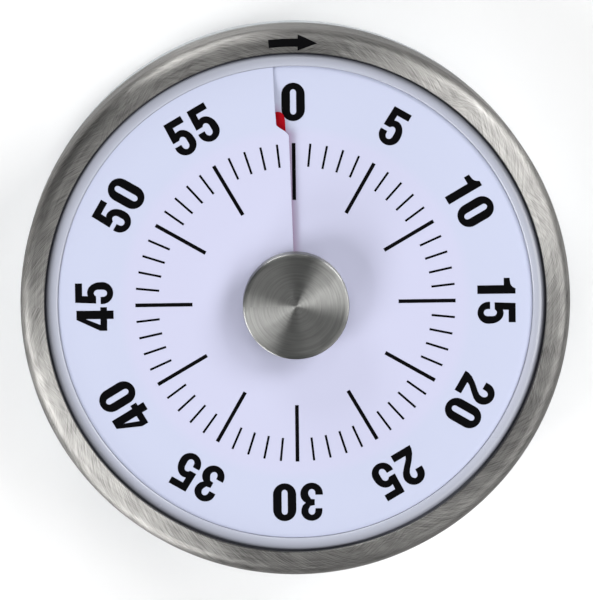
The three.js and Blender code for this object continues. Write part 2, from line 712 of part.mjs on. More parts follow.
const origin = new THREE.Vector2(0, 0);
const wheelHole = { r: STAFF_R + GAP };
place(
  "great_wheel",
  pushed(wheelOutline(GREAT, directionTo(origin, SECOND_AT)), ...LEVEL.greatWheel, [
    { r: ARBOR_BODY_R + GAP, sides: 16 },
  ]),
  brass,
);
place("click", click(), springSteel);
place(
  "second_arbor", pinionArbor(GREAT, SECOND_AT, origin, LEVEL.secondPinion),
  springSteel, SECOND_AT,
);
place(
  "second_wheel",
  pushed(wheelOutline(SECOND, directionTo(SECOND_AT, THIRD_AT)), ...LEVEL.secondWheel, [wheelHole]),
  brass, SECOND_AT,
);
place(
  "third_arbor", pinionArbor(SECOND, THIRD_AT, SECOND_AT, LEVEL.thirdPinion),
  springSteel, THIRD_AT,
);
place(
  "third_wheel",
  pushed(wheelOutline(THIRD, directionTo(THIRD_AT, ESCAPE_AT)), ...LEVEL.thirdWheel, [wheelHole]),
  brass, THIRD_AT,
);
place(
  "escape_arbor", pinionArbor(THIRD, ESCAPE_AT, THIRD_AT, LEVEL.escapePinion),
  springSteel, ESCAPE_AT,
);
place(
  "escape_wheel",
  sawWheel(ESCAPE_TEETH, 4.1, ESCAPE_R, LEVEL.escapeWheel, STAFF_R + GAP),
  brass, ESCAPE_AT,
);
place("pallet_arbor", staff(), springSteel, BALANCE_AT);
place("pallet_lever", palletLever(), springSteel, BALANCE_AT);
place("balance_wheel", balanceWheel(), brass, BALANCE_AT);
place("lever_arbor", staff(), springSteel, LEVER_AT);
place("alarm_lever", alarmLever(), platedSteel, LEVER_AT);
place("hammer_arbor", hammerArbor(), springSteel, HAMMER_AT);
place("hammer", hammer(), springSteel, HAMMER_AT);
place("hammer_spring", coilSpring(1.6, 0.2, LEVEL.hammerSpring, 3), springSteel, HAMMER_AT);
place("bell", bell(), platedSteel);
place("bell_screw", bellScrew(), platedSteel);

export default timer;
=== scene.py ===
import json
import math

import bmesh
import bpy
from mathutils import Matrix, Vector
from mathutils.geometry import tessellate_polygon


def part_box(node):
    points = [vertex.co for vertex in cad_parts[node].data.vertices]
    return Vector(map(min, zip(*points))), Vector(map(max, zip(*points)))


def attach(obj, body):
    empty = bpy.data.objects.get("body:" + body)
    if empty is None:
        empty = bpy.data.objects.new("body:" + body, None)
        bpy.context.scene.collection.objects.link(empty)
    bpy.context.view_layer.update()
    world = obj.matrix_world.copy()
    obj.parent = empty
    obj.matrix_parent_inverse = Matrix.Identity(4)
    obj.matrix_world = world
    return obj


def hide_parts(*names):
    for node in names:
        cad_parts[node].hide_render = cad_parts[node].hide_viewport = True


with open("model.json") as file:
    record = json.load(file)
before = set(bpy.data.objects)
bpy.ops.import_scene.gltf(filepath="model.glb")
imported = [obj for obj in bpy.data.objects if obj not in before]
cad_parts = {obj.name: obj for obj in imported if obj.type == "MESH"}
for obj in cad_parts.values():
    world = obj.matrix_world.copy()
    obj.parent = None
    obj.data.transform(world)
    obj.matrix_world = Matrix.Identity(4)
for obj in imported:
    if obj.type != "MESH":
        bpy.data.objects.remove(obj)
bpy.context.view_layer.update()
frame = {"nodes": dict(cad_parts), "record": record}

MM = 0.001
TURN = 2 * math.pi

# ---- Sizes in millimetres, from the frame where it has them ----


def box_mm(node):
    low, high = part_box(node)
    return [v / MM for v in low], [v / MM for v in high]


def middle_mm(node):
    """The X and Y of a node's middle."""
    low, high = box_mm(node)
    return (low[0] + high[0]) / 2, (low[1] + high[1]) / 2


CASE_LOW, CASE_HIGH = box_mm("case_ring")
CASE_R = CASE_HIGH[0]
CASE_TOP = CASE_HIGH[2]
CASE_FOOT = CASE_LOW[2]
STEEL = 0.55             # sheet that the case is drawn from
INSIDE_R = CASE_R - STEEL - 0.35   # outer radius of what slides into the case
LIP_R = 36.5             # inner edge of the bezel
SHOULDER = 1.8           # radius of the bezel's outer bend
FACE_RISE = 0.10         # climb of the bezel's face from lip to shoulder
LIP_BEND = 0.16          # radius of the lip's top edge
LIP_FOOT = CASE_TOP - 0.9   # where the turned-down lip ends
SHELL_LOW, SHELL_HIGH = box_mm("back_shell")
SHELL_R = SHELL_HIGH[0]
SHELL_TOP = CASE_FOOT - 0.3        # the seam between shell and case is above it
DIAL_LOW, DIAL_HIGH = box_mm("dial_sheet")
DIAL_R = 34.5
DIAL_HOLE_R = 5.0
DIAL_T = 0.24            # the dial film
DIAL_RISE = DIAL_HIGH[2] - DIAL_LOW[2] - DIAL_T   # climb of the sheet over its turn
DIAL_Z = DIAL_LOW[2] + DIAL_T / 2                 # its middle, at the low side of the cut
RIM_Z = 23.4             # middle of the sheet at its rim, where the moulding holds it nearly level
RIM_LEVEL = 0.65         # share of the way from its spiral to that height
LEVEL_R = (28.4, 33.4)   # where the sheet starts and ends to level out
RING_R = 34.55           # inner edge of the white ring
RING_EDGE_R = 36.3       # its outer edge, just inside the bezel's lip
RING_TOP = 24.0
CARRIER_BOTTOM = 20.6
CARRIER_TOP = 22.0
CARRIER_HOLE_R = 5.2
SKIRT_R = 37.7           # inside of the carrier's skirt
SKIRT_FOOT = 17.5
FILM_T = 0.2             # red film
FILM_R = 25.6
FILM_TIP_R = 28.0
FILM_LEAD_DEG = -2.6     # where its leading edge stands at zero, clockwise from 12 o'clock
CUT_BEND_R = (24.4, 26.4)   # where the S in the sheet's cut starts and ends
CUT_START = (0.2, 0.66)     # how far the cut lies left of 12 o'clock, at the knob and before the S
CUT_END = (2.58, 2.86)      # the same after the S and at the rim
KNOB_LOW, KNOB_HIGH = box_mm("knob")
KNOB_R = KNOB_HIGH[0]
FOOT_HIGH = box_mm("foot_ring")[1]
FOOT_INNER_R = 24.0
MAGNET_R = 6.0
SHELL_FLOOR = 2.6        # inside of the back shell's floor
SMOOTH_DEG = 32          # edges sharper than this stay sharp
COPIES = (1, 2, 3)       # the case screws, the movement screws and the magnets are three each
DIGIT_W, DIGIT_H, DIGIT_GAP = 3.4, 5.6, 0.5
NUMERAL_R = 29.28        # middle of the numerals
NUMERAL_SLIP = {20: 0.25, 40: -0.45, 55: 0.15}    # clockwise, off its tick
TICK_OUTER_R = 23.3
ARROW_R = 38.0


# ---- Meshes ----
def add_mesh(name, points, faces, material, smooth_deg=SMOOTH_DEG):
    """An object from points in mm, with doubles merged and its faces turned outwards."""
    mesh = bpy.data.meshes.new(name)
    mesh.from_pydata([[c * MM for c in p] for p in points], [], faces)
    work = bmesh.new()
    work.from_mesh(mesh)
    bmesh.ops.remove_doubles(work, verts=work.verts, dist=1e-7)
    bmesh.ops.recalc_face_normals(work, faces=work.faces)
    work.to_mesh(mesh)
    work.free()
    mesh.shade_smooth()
    mesh.set_sharp_from_angle(angle=math.radians(smooth_deg))
    obj = bpy.data.objects.new(name, mesh)
    bpy.context.scene.collection.objects.link(obj)
    obj.data.materials.append(material)
    return obj


def arc(cx, cy, rx, ry, start_deg, end_deg, steps=14):
    """Points along an elliptical arc."""
    points = []
    for i in range(steps + 1):
        a = math.radians(start_deg + (end_deg - start_deg) * i / steps)
        points.append((cx + rx * math.cos(a), cy + ry * math.sin(a)))
    return points


def rounded(corners, arc_steps=6):
    """A closed outline of (r, z, radius) corners, with each corner turned into an arc."""
    outline = []
    count = len(corners)
    for i, (x, y, radius) in enumerate(corners):
        here = Vector((x, y))
        if radius == 0:
            outline.append((x, y))
            continue
        back = (Vector(corners[i - 1][:2]) - here).normalized()
        ahead = (Vector(corners[(i + 1) % count][:2]) - here).normalized()
        half = math.acos(max(-1.0, min(1.0, back.dot(ahead)))) / 2
        reach = radius / math.tan(half)
        centre = here + (back + ahead).normalized() * (radius / math.sin(half))
        start = here + back * reach - centre
        end = here + ahead * reach - centre
        sweep = start.angle_signed(end, 0)
        for step in range(arc_steps + 1):
            turned = Matrix.Rotation(-sweep * step / arc_steps, 2) @ start
            outline.append(tuple(centre + turned))
    return outline


def lathe(name, outline, material, segments=192, at=(0.0, 0.0), smooth_deg=SMOOTH_DEG):
    """A closed (r, z) outline turned round an upright axis. Points on the axis become one vertex."""
    points, faces, index = [], [], []
    for s in range(segments):
        a = TURN * s / segments
        row = []
        for i, (r, z) in enumerate(outline):
            if r < 1e-6 and s > 0:
                row.append(index[0][i])
                continue
            row.append(len(points))
            points.append((at[0] + r * math.cos(a), at[1] + r * math.sin(a), z))
        index.append(row)
    count = len(outline)
    for s in range(segments):
        here, there = index[s], index[(s + 1) % segments]
        for i in range(count):
            j = (i + 1) % count
            quad = [here[i], there[i], there[j], here[j]]
            face = [v for k, v in enumerate(quad) if v != quad[k - 1]]
            if len(set(face)) >= 3:
                faces.append(face)
    return add_mesh(name, points, faces, material, smooth_deg)


def cylinder(name, radius, low, high, material, segments, at):
    """An upright cylinder between two heights."""
    return lathe(name, [(0, low), (radius, low), (radius, high), (0, high)], material, segments, at)


def sheet(name, columns, rows, point, material):
    """A thin solid over a grid: point(column, row) gives x, y, low and high z."""
    points = []
    for c in range(columns):
        for w in range(rows):
            x, y, low, high = point(c, w)
            points += [(x, y, low), (x, y, high)]

    def at(c, w, level):
        return 2 * (c * rows + w) + level

    faces = []
    end, last = columns - 1, rows - 1
    for c in range(end):
        for w in range(last):
            faces.append([at(c, w, 1), at(c + 1, w, 1), at(c + 1, w + 1, 1), at(c, w + 1, 1)])
            faces.append([at(c, w, 0), at(c, w + 1, 0), at(c + 1, w + 1, 0), at(c + 1, w, 0)])
        faces.append([at(c, 0, 0), at(c + 1, 0, 0), at(c + 1, 0, 1), at(c, 0, 1)])
        faces.append([at(c, last, 0), at(c, last, 1), at(c + 1, last, 1), at(c + 1, last, 0)])
    for w in range(last):
        faces.append([at(0, w, 0), at(0, w, 1), at(0, w + 1, 1), at(0, w + 1, 0)])
        faces.append([at(end, w, 0), at(end, w + 1, 0), at(end, w + 1, 1), at(end, w, 1)])
    return add_mesh(name, points, faces, material)


def cut_and_join(obj, cutters=(), added=()):
    """Boolean cuts and joins, applied, with the helper objects deleted."""
    for operation, helpers in (("UNION", added), ("DIFFERENCE", cutters)):
        for helper in helpers:
            modifier = obj.modifiers.new("boolean", "BOOLEAN")
            modifier.operation = operation
            modifier.solver = "EXACT"
            modifier.object = helper
    bpy.context.view_layer.update()
    graph = bpy.context.evaluated_depsgraph_get()
    made = bpy.data.meshes.new_from_object(obj.evaluated_get(graph))
    obj.modifiers.clear()
    obj.data = made
    for helper in (*cutters, *added):
        bpy.data.objects.remove(helper)
    made.shade_smooth()
    made.set_sharp_from_angle(angle=math.radians(SMOOTH_DEG))


def piece(obj, body, slot, *nodes):
    """obj rides on a body and stands for CAD nodes, which it hides. The slot is not used."""
    if nodes:
        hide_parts(*nodes)
    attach(obj, body)
    return obj


# ---- Materials ----
class Look:
    """A Principled material with its node tree at hand."""

    def __init__(self, name, color, roughness, metallic=0.0, **sockets):
        self.material = bpy.data.materials.new(name)
        self.material.use_nodes = True
        self.nodes = self.material.node_tree.nodes
        self.links = self.material.node_tree.links
        self.shader = self.nodes["Principled BSDF"]
        self.color = color
        self.shader.inputs["Base Color"].default_value = (*color, 1)
        self.shader.inputs["Roughness"].default_value = roughness
        self.shader.inputs["Metallic"].default_value = metallic
        for socket, value in sockets.items():
            self.shader.inputs[socket.replace("_", " ")].default_value = value
        self.coordinates = self.nodes.new("ShaderNodeTexCoord")

    def link(self, a, b):
        self.links.new(a, b)

    def math(self, operation, a, b=None):
        node = self.nodes.new("ShaderNodeMath")
        node.operation = operation
        for socket, value in zip(node.inputs, (a, b)):
            if value is None:
                continue
            if isinstance(value, (int, float)):
                socket.default_value = value
            else:
                self.link(value, socket)
        return node.outputs[0]

    def blend(self, a, b, share):
        """Value a where the share is 0, value b where it is 1."""
        rise = self.math("MULTIPLY", self.math("SUBTRACT", b, a), share)
        return self.math("ADD", a, rise)

    def grain(self, scale, detail=3, roughness=0.5):
        """Noise at one scale, or at one for each axis."""
        node = self.nodes.new("ShaderNodeMapping")
        node.inputs["Scale"].default_value = scale if isinstance(scale, tuple) else (scale,) * 3
        self.link(self.coordinates.outputs["Object"], node.inputs["Vector"])
        return self.noise(node.outputs["Vector"], detail, roughness)

    def place(self):
        """The X, Y and Z of a point."""
        split = self.nodes.new("ShaderNodeSeparateXYZ")
        self.link(self.coordinates.outputs["Object"], split.inputs[0])
        return split.outputs

    def around(self):
        """The angle about the Z axis, the radius and the height of a point."""
        x, y, z = self.place()
        square = self.math("ADD", self.math("MULTIPLY", x, x), self.math("MULTIPLY", y, y))
        return self.math("ARCTAN2", y, x), self.math("SQRT", square), z

    def strokes(self, mean_r, length, width, lean_deg=0.0, detail=2.0):
        """Noise in strokes of a length and width in mm, laid round the axis and leaning off the turn."""
        angle, radius, z = self.around()
        join = self.nodes.new("ShaderNodeCombineXYZ")
        self.link(self.math("MULTIPLY", angle, mean_r * MM), join.inputs[0])
        self.link(self.math("SUBTRACT", radius, z), join.inputs[1])
        stretch = self.nodes.new("ShaderNodeMapping")
        stretch.vector_type = "TEXTURE"
        stretch.inputs["Rotation"].default_value = (0, 0, math.radians(lean_deg))
        stretch.inputs["Scale"].default_value = (length * MM, width * MM, MM)
        self.link(join.outputs[0], stretch.inputs["Vector"])
        return self.noise(stretch.outputs["Vector"], detail)

    def noise(self, vector, detail, roughness=0.5):
        node = self.nodes.new("ShaderNodeTexNoise")
        node.inputs["Scale"].default_value = 1
        node.inputs["Detail"].default_value = detail
        node.inputs["Roughness"].default_value = roughness
        self.link(vector, node.inputs["Vector"])
        return node.outputs["Fac"]

    def mix(self, a, b, share):
        """Colour a where the share is 0, colour b where it is 1."""
        node = self.nodes.new("ShaderNodeMix")
        node.data_type = "RGBA"
        for socket, color in ((node.inputs["A"], a), (node.inputs["B"], b)):
            if isinstance(color, tuple):
                socket.default_value = (*color, 1)
            else:
                self.link(color, socket)
        self.link(share, node.inputs["Factor"])
        return node.outputs["Result"]

    def span(self, value, low, high, from_low=0.3, from_high=0.7, smooth=False):
        """A value between two bounds, taken to a new range and held at its ends."""
        node = self.nodes.new("ShaderNodeMapRange")
        if smooth:
            node.interpolation_type = "SMOOTHSTEP"
        node.inputs["From Min"].default_value = from_low
        node.inputs["From Max"].default_value = from_high
        node.inputs["To Min"].default_value = low
        node.inputs["To Max"].default_value = high
        self.link(value, node.inputs["Value"])
        return node.outputs["Result"]

    def along(self, length, low, high, start, end, smooth=False):
        """A value that goes from low to high while a length goes from start to end, in mm."""
        return self.span(length, low, high, start * MM, end * MM, smooth)

    def vary_roughness(self, value, low, high):
        self.link(self.span(value, low, high), self.shader.inputs["Roughness"])

    def vary_color(self, value, dark, light=1.0, from_low=0.3, from_high=0.7):
        """Base colour between a darker and a lighter tone of itself."""
        darker = tuple(c * dark for c in self.color)
        lighter = tuple(min(1, c * light) for c in self.color)
        mixed = self.mix(darker, lighter, self.span(value, 0, 1, from_low, from_high))
        self.link(mixed, self.shader.inputs["Base Color"])

    def shade(self, value):
        """Multiplies the base colour by a value."""
        scale = self.nodes.new("ShaderNodeVectorMath")
        scale.operation = "SCALE"
        self.link(self.shader.inputs["Base Color"].links[0].from_socket, scale.inputs[0])
        self.link(value, scale.inputs["Scale"])
        self.link(scale.outputs[0], self.shader.inputs["Base Color"])

    def bump(self, value, strength, distance_mm):
        node = self.nodes.new("ShaderNodeBump")
        node.inputs["Strength"].default_value = strength
        node.inputs["Distance"].default_value = distance_mm * MM
        self.link(value, node.inputs["Height"])
        self.link(node.outputs["Normal"], self.shader.inputs["Normal"])

    def ring_tangent(self):
        node = self.nodes.new("ShaderNodeTangent")
        node.direction_type = "RADIAL"
        node.axis = "Z"
        self.link(node.outputs[0], self.shader.inputs["Tangent"])


def brushed_case_steel():
    """Crossed strokes on the bezel's face, which give way to plain turned lines down the wall.

    The steel is smoother on the outer bend and carries painted shade there, standing in for the dark band
    it reflects; it has painted light down the wall and painted shade at the lip.
    """
    look = Look("brushed_case_steel", (0.372, 0.364, 0.35), 0.42, 1.0,
                Anisotropic=0.9, Anisotropic_Rotation=0.235, Specular_Tint=(0.3, 0.3, 0.31, 1))
    look.ring_tangent()
    round_mean = (LIP_R + CASE_R) / 2
    radius, height = look.around()[1:]
    on_face = look.along(height, 0.06, 0.72, CASE_TOP - 2.0, CASE_TOP - 0.6)
    turned = look.strokes(round_mean, 9.0, 0.16)
    left = look.strokes(round_mean, 3.2, 0.11, 27, 4.0)
    right = look.strokes(round_mean, 2.6, 0.11, -24, 4.0)
    clouds = look.strokes(round_mean, 4.0, 1.8, 24)
    share = look.span(look.strokes(round_mean, 12.0, 8.0), 0, 1, 0.35, 0.5)
    crossing = look.blend(right, left, share)
    both = look.blend(turned, crossing, on_face)
    tone = look.blend(both, clouds, 0.18)
    on_bend = look.along(radius, 0, 1, CASE_R - 1.08, CASE_R - 0.61)
    rough = look.math("MULTIPLY", look.span(both, 0.36, 0.48), look.span(on_bend, 1, 0.7, 0, 1))
    look.link(rough, look.shader.inputs["Roughness"])
    look.vary_color(tone, 0.55, 1.45, 0.38, 0.62)
    # Painted shade: the outer bend's colour is darkened to stand for the dark band it reflects.
    look.shade(look.span(on_bend, 1, 0.66, 0, 1))
    # Painted light: the wall is lightened lower down to stand for the bright floor and shell it reflects.
    look.shade(look.along(height, 1.4, 1, CASE_TOP - 2.2, CASE_TOP - 1.3))
    # Painted shade: the lip's edge is darkened where the gap under it lies in shade.
    look.shade(look.along(radius, 0.5, 1.0, LIP_R + 0.02, LIP_R + LIP_BEND))
    look.bump(both, 1.0, 0.07)
    return look.material


def spun_knob_steel():
    """Fine rings, broad and narrow, turned round the knob's axis."""
    look = Look("spun_knob_steel", (0.372, 0.372, 0.36), 0.34, 1.0,
                Anisotropic=0.9, Anisotropic_Rotation=0.25, Specular_Tint=(0.5, 0.5, 0.5, 1))
    look.ring_tangent()
    rings = look.strokes(KNOB_R, 16.0, 0.26, 0, 1.0)
    fine = look.strokes(KNOB_R, 3.0, 0.10, 0, 2.0)
    grain = look.math("ADD", look.math("MULTIPLY", rings, 0.6), look.math("MULTIPLY", fine, 0.4))
    look.vary_roughness(fine, 0.30, 0.38)
    look.vary_color(grain, 0.80, 1.18)
    look.bump(grain, 0.15, 0.01)
    return look.material


def metal(name, color, roughness, grain=900):
    """Plain metal with fine tool marks and faint stains."""
    look = Look(name, color, roughness, 1.0)
    tool_marks = look.grain(grain, 4, 0.6)
    stains = look.grain(160)
    look.vary_roughness(tool_marks, roughness * 0.8, roughness * 1.3)
    look.vary_color(stains, 0.85, 1.05)
    look.bump(tool_marks, 0.12, 0.02)
    return look.material


def plastic(name, color, roughness, grain=2600, bump=0.10, dark=0.965, **sockets):
    """Plastic or ink with a fine skin and soft clouds of wear."""
    look = Look(name, color, roughness, 0.0, **sockets)
    skin = look.grain(grain, 2)
    cloud = look.grain(60)
    look.vary_roughness(cloud, roughness * 0.9, roughness * 1.15)
    look.vary_color(cloud, dark, 1.01)
    look.bump(skin, bump, 0.02)
    return look.material


def dial_film_look():
    """White film over a red disc, which tints it a little, with painted shade and a painted red
    reflection beside the cut.
    """
    outer, inner, cut_shade_and_reflection = (0.512, 0.543, 0.69), (0.535, 0.543, 0.70), (0.44, 0.34, 0.51)
    look = Look("dial_film", outer, 0.14, Coat_Weight=0.5)
    radius = look.around()[1]
    tint = look.mix(outer, inner, look.along(radius, 1, 0, FILM_R - 1.2, FILM_R + 0.4))
    x, y = look.place()[:2]
    straight = look.along(radius, CUT_START[0] * MM, CUT_START[1] * MM, KNOB_R, CUT_BEND_R[0])
    bend = look.along(radius, 0, (CUT_END[0] - CUT_START[1]) * MM, *CUT_BEND_R, True)
    past_cut = look.math("ADD", x, look.math("ADD", straight, bend))
    # Painted shade and painted red reflection: darker and pinker right beside the cut, in the top half,
    # fading out past the disc's tip.
    near = look.along(past_cut, 1, 0, 0, 1.6)
    cut_shade_and_reflection_share = look.math("MULTIPLY", near, near)
    for fade in (
        look.along(past_cut, 0, 1, -0.02, 0.02),
        look.along(y, 0, 1, 0, 1),
        look.along(radius, 1, 0, FILM_TIP_R + 0.2, FILM_TIP_R + 1.4),
    ):
        cut_shade_and_reflection_share = look.math("MULTIPLY", cut_shade_and_reflection_share, fade)
    look.link(look.mix(tint, cut_shade_and_reflection, cut_shade_and_reflection_share), look.shader.inputs["Base Color"])
    look.vary_roughness(look.grain(60), 0.125, 0.16)
    look.bump(look.grain(700, 2), 0.015, 0.02)
    return look.material


def white_moulding_look():
    """White plastic with painted light and shade: lighter at the ring's inner edge, greying across its
    top towards the bezel's lip, and dark in the gap under the lip.
    """
    look = Look("white_plastic", (0.365, 0.38, 0.447), 0.24, Coat_Weight=0.3)
    radius = look.around()[1]
    cloud = look.grain(60)
    look.vary_roughness(cloud, 0.21, 0.28)
    look.vary_color(cloud, 0.97, 1.01)
    # Painted light and shade: lighter at the ring's inner edge, greyer towards the lip that shades it.
    look.shade(look.along(radius, 1.2, 0.94, RING_R, RING_EDGE_R - 0.3))
    # Painted shade: dark at the ring's outer edge, in the gap under the bezel's lip.
    look.shade(look.along(radius, 1.0, 0.5, RING_EDGE_R - 0.25, RING_EDGE_R))
    look.bump(look.grain(1500, 2), 0.04, 0.02)
    return look.material


def rubber_look():
    """Dark rubber with a fine skin and patches of dust."""
    look = Look("grip_rubber", (0.035, 0.035, 0.037), 0.8)
    skin = look.grain(5000)
    dust = look.grain(220, 4, 0.7)
    look.vary_roughness(dust, 0.7, 0.95)
    look.vary_color(dust, 0.8, 1.7)
    look.bump(skin, 0.3, 0.04)
    return look.material


def floor_look():
    """Matt white, very slightly uneven."""
    look = Look("studio_floor", (0.93, 0.93, 0.93), 0.9)
    look.vary_color(look.grain(3, 2), 0.995, 1.0)
    return look.material


LOOKS = {
    "case_steel": brushed_case_steel(),
    "knob_steel": spun_knob_steel(),
    "shell_plastic": plastic("shell_plastic", (0.40, 0.43, 0.455), 0.42, 3200, 0.22),
    "white_plastic": white_moulding_look(),
    "dial_film": dial_film_look(),
    "red_film": plastic("red_film", (0.29, 0.001, 0.006), 0.4, 1200, 0.05, 0.93,
                        Specular_IOR_Level=0.08),
    "ink": plastic("black_ink", (0.002, 0.002, 0.0025), 0.5, 3000, 0.05, Specular_IOR_Level=0.03),
    "nylon": plastic("nylon", (0.62, 0.60, 0.53), 0.5),
    "rubber": rubber_look(),
    "magnet_nickel": metal("magnet_nickel", (0.52, 0.52, 0.53), 0.28),
    "plated_steel": metal("plated_steel", (0.58, 0.59, 0.61), 0.3, (300, 2400, 300)),
    "spring_steel": metal("spring_steel", (0.27, 0.28, 0.31), 0.34, (2400, 300, 300)),
    "brass": metal("brass", (0.60, 0.43, 0.17), 0.3, (2200, 260, 260)),
}


# ---- The dial's helicoid ----
def smooth_step(value, start, end):
    """0 before the start, 1 after the end, and an S between them."""
    t = max(0.0, min(1.0, (value - start) / (end - start)))
    return t * t * (3 - 2 * t)


def clockwise(r, angle):
    """X and Y of a point at a clockwise angle from 12 o'clock."""
    return r * math.sin(angle), r * math.cos(angle)


def climb_height(angle):
    """Middle of the sheet's spiral at a clockwise angle from 12 o'clock, in mm."""
    return DIAL_Z + DIAL_RISE * angle / TURN


def dial_height(angle, r):
    """Middle of the dial sheet: the spiral, which levels out towards the rim."""
    climb = climb_height(angle)
    return climb + (RIM_Z - climb) * RIM_LEVEL * smooth_step(r, *LEVEL_R)


def cut_offset(r):
    """How far the dial's cut lies left of 12 o'clock: a straight run, an S, a straight run."""
    inner_start, inner_end = CUT_START
    outer_start, outer_end = CUT_END
    bend_start, bend_end = CUT_BEND_R
    if r < bend_start:
        t = max(0.0, (r - KNOB_R) / (bend_start - KNOB_R))
        return inner_start + (inner_end - inner_start) * t
    if r < bend_end:
        return inner_end + (outer_start - inner_end) * smooth_step(r, bend_start, bend_end)
    t = (r - bend_end) / (DIAL_R - bend_end)
    return outer_start + (outer_end - outer_start) * t


def dial_sheet():
    """The white film, with rings of points close together at the cut's S and where it levels out."""
    fine_start = 24.1
    radii = [DIAL_HOLE_R, KNOB_R, 12.0, 18.0]
    radii += [fine_start + 0.2 * i for i in range(11)]
    radii += [LEVEL_R[0] + 0.5 * i for i in range(11)]
    radii.append(DIAL_R)
    steps = 360
    cut_width = 0.02         # between the sheet's two edges

    def point(c, w):
        r = radii[w]
        angle = (TURN - cut_width / r) * c / steps - math.asin(cut_offset(r) / r)
        z = dial_height(angle, r)
        return *clockwise(r, angle), z - DIAL_T / 2, z + DIAL_T / 2

    face = sheet("dial_face", steps + 1, len(radii), point, LOOKS["dial_film"])
    return piece(face, "case", "dial_film", "dial_sheet")


def disc_hole_radius(angle):
    """Inner edge of the red disc, clear of its collar: round, with two flats."""
    collar_r, flat, clearance = 4.2, 3.7, 0.3
    return min(collar_r, flat / max(abs(math.cos(angle)), 0.1)) + clearance


def red_disc():
    """The red film. Its columns are degrees behind the leading edge and the radius there."""
    lead = math.radians(FILM_LEAD_DEG)
    tip_end = 7
    columns = [(0, 26.7), (0.25, 27.3), (0.7, 27.7), (1.3, 27.93), (2.1, FILM_TIP_R), (3.0, 27.95),
               (3.8, 27.7), (4.6, 27.1), (5.4, 26.5), (6.3, 25.95), (tip_end, FILM_R)]
    steps = 300
    for i in range(1, steps + 1):
        columns.append((tip_end + (360 - tip_end) * i / steps, FILM_R))
    shares = [0, 0.2, 0.4, 0.6, 0.8, 0.93, 1]     # from the disc's inner edge to its outer one

    def point(c, w):
        behind, outer = columns[c]
        angle = lead - math.radians(behind)
        inner = disc_hole_radius(angle)
        r = inner + (outer - inner) * shares[w]
        z = climb_height(angle) + DIAL_RISE / 2
        return *clockwise(r, angle), z - FILM_T / 2, z + FILM_T / 2

    disc = sheet("time_disc", len(columns), len(shares), point, LOOKS["red_film"])
    return piece(disc, "time_disc", "red_film", "red_disc")


# ---- Print ----
INK_LOW, INK_HIGH = -0.03, 0.015        # the dial print's solid, from the surface it lies on
ARROW_LOW, ARROW_HIGH = -0.02, 0.012    # the same for the arrow
INK_GRID = 0.5                          # largest face of the dial print
MAJOR_TICK = (8.3, 0.27)                # length and half width, at every fifth minute
MINOR_TICK = (3.4, 0.16)


def digit_zero():
    w, h = DIGIT_W, DIGIT_H
    outer = arc(w / 2, 1.7, w / 2, 1.7, 180, 360) + arc(w / 2, h - 1.7, w / 2, 1.7, 0, 180)
    inner = arc(w / 2, 1.45, 0.44, 0.5, 180, 360) + arc(w / 2, h - 1.45, 0.44, 0.5, 0, 180)
    return [outer, inner]


def digit_one():
    flag = arc(0.55, 5.95, 1.15, 1.2, -20, -75, 8)
    return [[(1.15, 0), (2.4, 0), (2.4, 5.55), (1.62, 5.55), *flag, (0.08, 4.7), (0.08, 3.85),
             (1.15, 3.85)]]


def digit_two():
    outer = arc(1.65, 4.0, 1.62, 1.6, 0, 180)
    inner = arc(1.65, 3.95, 0.5, 0.68, 180, 0)
    return [[(0.02, 0), (3.25, 0), (3.25, 1.08), (1.35, 1.08), (1.6, 1.55), (2.35, 2.35), (2.95, 3.05),
             (3.2, 3.55), *outer, (0.03, 3.5), (1.13, 3.5), *inner,
             (2.08, 3.55), (1.75, 3.05), (0.9, 2.1), (0.3, 1.25), (0.05, 0.55)]]


def digit_three():
    top = arc(1.65, 4.15, 1.55, 1.45, 5, 180)
    low = arc(1.65, 1.62, 1.65, 1.65, 180, 385, 20)
    low_inner = arc(1.63, 1.5, 0.52, 0.6, 40, -180, 16)
    top_inner = arc(1.63, 4.1, 0.5, 0.6, 180, -35, 16)
    return [[*top, (0.1, 3.75), (1.1, 3.75), *top_inner, (1.85, 3.4), (1.2, 3.28), (1.2, 2.42),
             (1.75, 2.36), *low_inner, (1.1, 1.75), (0.0, 1.75), *low, (2.85, 2.7), (2.55, 2.92),
             (2.95, 3.3), (3.15, 3.8)]]


def digit_four():
    outer = [(1.72, 0), (2.95, 0), (2.95, 0.95), (3.45, 0.95), (3.45, 1.92), (2.95, 1.92),
             (2.95, 5.4), (1.6, 5.4), (0.0, 1.98), (0.0, 0.95), (1.72, 0.95)]
    return [outer, [(1.72, 1.92), (0.86, 1.92), (1.72, 4.05)]]


def digit_five():
    bowl = arc(1.68, 1.85, 1.55, 1.95, 128, 0, 12)
    under = arc(1.62, 1.62, 1.62, 1.62, 0, -180, 16)
    inner = arc(1.6, 1.5, 0.52, 0.6, -180, 0, 12)
    back = arc(1.6, 2.2, 0.52, 0.62, 0, 150, 10)
    return [[(0.22, 5.55), (3.05, 5.55), (3.05, 4.52), (1.22, 4.52), (1.18, 3.55), *bowl[1:-1],
             *under, (0.02, 1.85), (1.06, 1.85), *inner, *back, (1.1, 2.5), (0.1, 2.5)]]


DIGITS = {
    "0": digit_zero(), "1": digit_one(), "2": digit_two(),
    "3": digit_three(), "4": digit_four(), "5": digit_five(),
}
ONE_SHIFT = 0.35         # the narrow 1 stands this far right in its place


def numeral_outlines(text):
    """The closed outlines of each digit of a numeral, centred, as lists of (across, up) points."""
    total = len(text) * DIGIT_W + (len(text) - 1) * DIGIT_GAP
    glyphs = []
    for i, digit in enumerate(text):
        left = -total / 2 + i * (DIGIT_W + DIGIT_GAP) + (ONE_SHIFT if digit == "1" else 0)
        glyphs.append([[(x + left, y - DIGIT_H / 2) for x, y in loop] for loop in DIGITS[digit]])
    return glyphs


